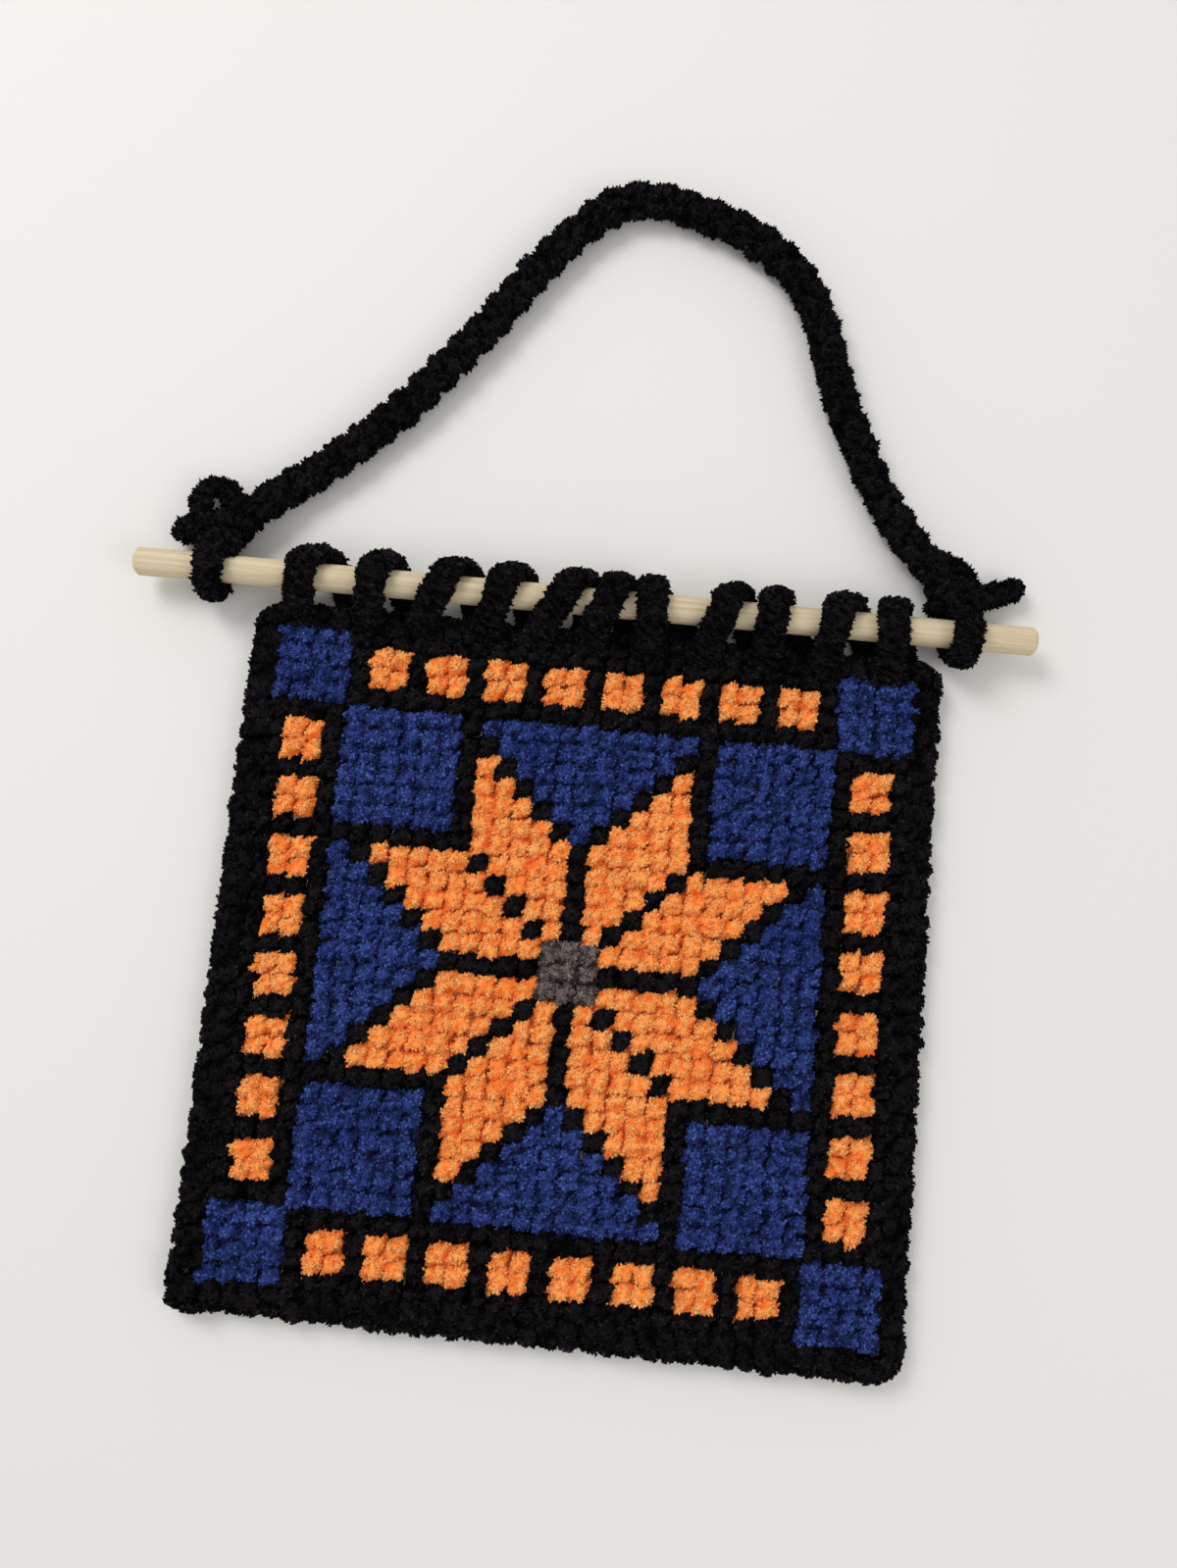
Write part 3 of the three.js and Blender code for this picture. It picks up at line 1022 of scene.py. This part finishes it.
# The rounded outline of the edge, as evenly spaced points with their headings
def edgeLine(count):
    corners = [np.array(corner, float) for corner in panelPlan["corners"]]
    line = []
    for k, corner in enumerate(corners):
        towards = [other - corner for other in (corners[k - 1], corners[(k + 1) % len(corners)])]
        rounded = whipPlan["rounded"][k]
        before, after = (corner + side / np.linalg.norm(side) * rounded for side in towards)
        for t in np.linspace(0, 1, whipPlan["cornerSteps"]):
            line.append((1 - t) ** 2 * before + 2 * t * (1 - t) * corner + t * t * after)
    line.append(line[0])
    line = np.array(line)
    reach = reachAlong(line)
    even = np.linspace(0, reach[-1], count, endpoint=False)
    spots = np.column_stack([np.interp(even, reach, column) for column in line.T])
    along = np.roll(spots, -1, axis=0) - np.roll(spots, 1, axis=0)
    return spots, np.arctan2(along[:, 1], along[:, 0])


# How far a place on the outline is from the stitches, straight across the edge
def roomAt(spot, heading):
    inward = np.array((-math.sin(heading), math.cos(heading)))
    corners = [np.array(corner) for corner in panelPlan["inner"]]
    room = []
    for k, corner in enumerate(corners):
        side = corners[(k + 1) % len(corners)] - corner
        normal = np.array((-side[1], side[0])) / np.linalg.norm(side)
        room.append(abs(normal @ (spot - corner)) / max(abs(normal @ inward), whipPlan["leastFacing"]))
    return min(room)


def headed(directions, heading):
    cos, sin = math.cos(heading), math.sin(heading)
    return directions @ np.array([[cos, sin, 0], [-sin, cos, 0], [0, 0, 1]])


def makeWhip():
    plan = whipPlan
    middle = (len(plan["course"]) - 1) / 2
    stops = [
        (plan["slant"] * (n / middle - 1), inward, z, plan["wide"], plan["thick"])
        for n, (inward, z) in enumerate(plan["course"])
    ]
    return rollStrand("whip", stops, (1, 0, 0), plan["sides"], plan["spacing"])


def makeWhippedEdge():
    plan = whipPlan
    whip = makeWhip()
    random.seed(plan["seed"])
    spots, headings = edgeLine(plan["count"])
    places = [(x, y, 0) for x, y in spots]
    turns = [(0, 0, heading + random.uniform(-plan["turn"], plan["turn"])) for heading in headings]
    sizes = []
    for spot, heading in zip(spots, headings):
        reach = (roomAt(spot, heading) + plan["overlap"]) / plan["reach"]
        wide, long, thick = (random.uniform(*plan["uneven"][way]) for way in ("wide", "long", "thick"))
        sizes.append((wide, reach * long, thick))
    edge = placeCopies("whipped_edge_yarn", whip, places, turns, sizes)
    single = readValues(whip, "along", "FLOAT_VECTOR")
    along = np.vstack([headed(single, heading) for _, _, heading in turns])
    storeValues(edge, "along", along, "FLOAT_VECTOR")
    bpy.data.objects.remove(whip)
    roughen(edge, plan["lumps"])
    smoothShade(edge)
    return edge


edge = makeWhippedEdge()
dress(edge, yarns["blackYarn"])
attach(edge, "root")
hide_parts("whipped_edging")
edgePile = growPile("whipped_edge_pile", edge, rib, yarns["blackPile"], whipPlan["pile"], outside=True)
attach(edgePile, "root")
print("edge ready")


dress(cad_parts["dowel"], dressMaterial("paleBirch", birchGroup(), {
    "Pale": sRgb(*birchPlan["pale"]),
    "Streak": sRgb(*birchPlan["streak"]),
    "Pore": sRgb(*birchPlan["pore"]),
    "Grain Depth": birchPlan["grainDepth"] * mm,
}, {"Specular IOR Level": birchPlan["specular"]}))


dowelPlan = {"y": 124.8, "z": 10.8125, "reach": 7.8125}  # its middle, and how far out yarn lies round it
lashingPlan = {
    # x of the hole, over the dowel and behind it, how far in the hole is, how wide the yarn lies behind
    "strands": [
        (-102.5, -100.5, -93.6, 8.8, 10.2), (-78.6, -76.6, -72.5, 8.8, 10.2), (-60.2, -52.5, -47, 8.8, 10.2),
        (-38, -33, -28.1, 8.8, 10.2), (-20.5, -11.4, -5.7, 8.8, 10.2), (-3, 3.7, 5.8, 8.8, 13.6),
        (17.6, 16.4, 16.5, 10.2, 13.6), (36.6, 41.4, 46.7, 8.8, 10.2), (56.2, 57.2, 59.4, 8.8, 10.2),
        (76, 78.7, 85, 9.6, 10.2), (98.4, 96.7, 99.6, 10.2, 10.2),
    ],
    "end": (107, 107, 107, 8.8, 10.2),
    "start": 1.9,
    "wide": 10.2,
    "thick": 5.5,
    "pinched": 4.2,
    # share of the way across, how far past the hole, height, width and thickness
    "rising": [(0, 0, 4.5, 8.7, 4.2), (0, 0.3, 8.2, 9.2, 4.2), (0.12, 2.8, 11.4, 10.2, 5.5)],
    "over": [(0.35, 150), (0.6, 120), (0.82, 90), (1, 60)],  # share of the way, and degrees round the dowel
    "behind": [(0.35, 30), (0.75, 0), (1, -30)],
    "under": [(0.12, -60), (0.3, -90)],
    "leaving": (0.52, -5.4, 2.4, 4.1),
    "returning": [(0.78, 4.4, 1.75, 10.2, 3), (1, 1.2, 1.95, 9.2, 3)],
    "sides": 14,
    "spacing": 1.0,
    "lumps": (2.0, 1.4, 1.0, 1.1),
    "pile": (0.8, 400, 1.0),
}


def mix(a, b, t):
    return a + (b - a) * t


def onDowel(x, degrees, wide, thick):
    angle = math.radians(degrees)
    out = dowelPlan["reach"]
    return (x, dowelPlan["y"] + out * math.cos(angle), dowelPlan["z"] + out * math.sin(angle), wide, thick)


def topEdge(x):
    right, left = panelPlan["corners"][2], panelPlan["corners"][3]
    return mix(left[1], right[1], (x - left[0]) / (right[0] - left[0]))


# Up through one hole, over the dowel, behind it and back under the edge to the next hole
def lashingTurn(strand, following):
    plan = lashingPlan
    wide, thick = plan["wide"], plan["thick"]
    hole, over, behind, inset, spread = strand
    nextHole, nextInset = following[0], following[3]
    y = topEdge(hole) - inset + plan["pinched"] / 2
    nextY = topEdge(nextHole) - nextInset + plan["pinched"] / 2
    stops = [(mix(hole, over, t), y + past, z, *size) for t, past, z, *size in plan["rising"]]
    stops += [onDowel(mix(hole, over, t), degrees, wide, thick) for t, degrees in plan["over"]]
    stops += [onDowel(mix(over, behind, t), degrees, wide, thick) for t, degrees in plan["behind"]]
    for (t, degrees), width in zip(plan["under"], (wide, spread)):
        stops.append(onDowel(mix(behind, nextHole, t), degrees, width, thick))
    t, past, z, thin = plan["leaving"]
    stops.append((mix(behind, nextHole, t), dowelPlan["y"] + past, z, spread, thin))
    stops += [(mix(behind, nextHole, t), nextY + past, z, *size) for t, past, z, *size in plan["returning"]]
    return stops


def makeLashing():
    plan = lashingPlan
    holes = plan["strands"] + [plan["end"]]
    stops = [stop for k in range(len(holes) - 1) for stop in lashingTurn(holes[k], holes[k + 1])]
    x, y, _, *size = stops[0]
    stops.insert(0, (x, y, plan["start"], *size))
    lashing = rollStrand("lashing_yarn", stops, (1, 0, 0), plan["sides"], plan["spacing"])
    roughen(lashing, plan["lumps"])
    smoothShade(lashing)
    return lashing


# Black yarn with its pile, in the place of one node of the frame
def dressBlack(piece, node, pile):
    dress(piece, yarns["blackYarn"])
    grown = growPile(piece.name.replace("_yarn", "_pile"), piece, rib, yarns["blackPile"], pile)
    for part in (piece, grown):
        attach(part, "root")
    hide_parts(node)


dressBlack(makeLashing(), "lashing", lashingPlan["pile"])
print("lashing ready")


knotPlan = {
    "left": {
        "centre": (-131.9, 137.6, 8.6),
        "front": -132.2,
        "back": -132.8,
        "radii": (8.9, 8, 7.6),
        "wide": 9.3,
        "lead": [(-132.2, 137.6, 12.3), (-132.2, 133.1, 15)],
        "ends": [
            [
                (-137.2, 140.6, 8, 7.2), (-140.4, 145.2, 7, 7), (-141.2, 150.6, 6.2, 6.9),
                (-138.8, 154.4, 5.6, 6.9), (-135.2, 155.2, 5.4, 6.9), (-131.8, 153.8, 5.6, 6.9),
                (-130.4, 150, 6.2, 6.9), (-130.8, 145.4, 7, 7), (-133.2, 141.5, 8, 7.2),
            ],
            [
                (-137, 138.6, 7.5, 8.6), (-142, 138.9, 6.4, 9.4), (-146, 138.6, 5.6, 9.2),
                (-149, 138.3, 5.2, 8.4),
            ],
            [
                (-130.5, 138, 9, 6.4), (-127.4, 135.4, 11, 6.6), (-127.2, 132, 12.8, 6.6),
                (-129.8, 130, 14.9, 6.6), (-133, 130.6, 15.4, 6),
            ],
        ],
        "pile": (0.8, 500, 1.2),
    },
    "right": {
        "centre": (116.5, 139.2, 7.5),
        "front": 121.6,
        "back": 121,
        "radii": (7, 6.6, 6.6),
        "wide": 9.6,
        "lead": [(108.6, 146.4, 9.8), (112.2, 142.6, 13), (116, 138.8, 15.4), (119.8, 134.6, 16.6)],
        "ends": [
            [
                (110.8, 146, 4.6, 6.6), (111.2, 150.4, 4.4, 6.6), (115.4, 151.8, 4.4, 6.6),
                (120, 150, 4.6, 6.6), (123, 147, 5, 6.6), (124.8, 143.2, 5.6, 6.6),
                (123, 138.5, 6.6, 6.8),
            ],
            [
                (122, 137.2, 7, 7.6), (129, 139.8, 5.8, 8.6), (135.4, 142.2, 4.8, 8.4),
                (140.2, 144.2, 4.6, 7.8), (143.2, 145.6, 4.3, 6.6),
            ],
            [
                (117, 137, 6, 7.2), (112.8, 135.2, 4.8, 7), (110.4, 134.2, 4.4, 5.5),
            ],
        ],
        "pile": (0.8, 600, 1.0),
    },
    "thick": 5.8,
    "strand": 7.2,
    "overDegrees": (60, 90, 120, 150, 180),
    "underDegrees": (210, 240, 270, 300),
    "tucked": [(-3.5, 4.2), (0, 5.2)],  # where the wrap ends inside the knot
    "bodySteps": 25,
    "bodySpread": 2.6,
    "bodyDeep": 0.8,
    "sides": (14, 12),  # of the wrap, and of the rest
    "spacing": 1.0,
    "lumps": (2.0, 1.6, 1.0, 1.1),
}


def knotWrap(knot):
    front, back, y = knot["front"], knot["back"], knot["centre"][1]
    size = (knot["wide"], knotPlan["thick"])
    under = knotPlan["underDegrees"]
    stops = [(*place, *size) for place in knot["lead"]]
    stops += [onDowel(front, degrees, *size) for degrees in knotPlan["overDegrees"]]
    for n, degrees in enumerate(under):
        stops.append(onDowel(mix(front, back, (n + 1) / len(under)), degrees, *size))
    stops += [(back, y + past, z, *size) for past, z in knotPlan["tucked"]]
    return stops


# The tied body: one strand that runs through itself three times
def knotBody(knot):
    stops = []
    x, y, z = knot["centre"]
    strand, spread = knotPlan["strand"], knotPlan["bodySpread"]
    across, along, deep = (radius - strand / 2 for radius in knot["radii"])
    for t in np.linspace(0, 2 * math.pi, knotPlan["bodySteps"]):
        stops.append((
            x + across * (math.sin(t) + 2 * math.sin(2 * t)) / spread,
            y + along * (math.cos(t) - 2 * math.cos(2 * t)) / spread,
            z - deep * knotPlan["bodyDeep"] * math.sin(3 * t),
            strand,
            strand,
        ))
    return stops


def makeKnot(name, knot):
    spacing = knotPlan["spacing"]
    wrapSides, sides = knotPlan["sides"]
    strands = [
        rollStrand("wrap", knotWrap(knot), (1, 0, 0), wrapSides, spacing),
        rollStrand("body", knotBody(knot), (0, 0, 1), sides, spacing),
    ]
    for end in knot["ends"]:
        strands.append(rollStrand("end", [stop + stop[3:] for stop in end], (0, 0, 1), sides, spacing))
    tied = joinPieces(strands, name)
    roughen(tied, knotPlan["lumps"])
    smoothShade(tied)
    return tied


for side in ("left", "right"):
    knot = makeKnot(side + "_knot_yarn", knotPlan[side])
    dressBlack(knot, side + "_knot", knotPlan[side]["pile"])
bpy.data.objects.remove(lock)
bpy.data.objects.remove(rib)
print("knots ready")

total = 0
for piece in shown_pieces():
    piece.data.calc_loop_triangles()
    count = len(piece.data.loop_triangles)
    total += count
    print("   ", piece.name, count)
print("triangles", total)
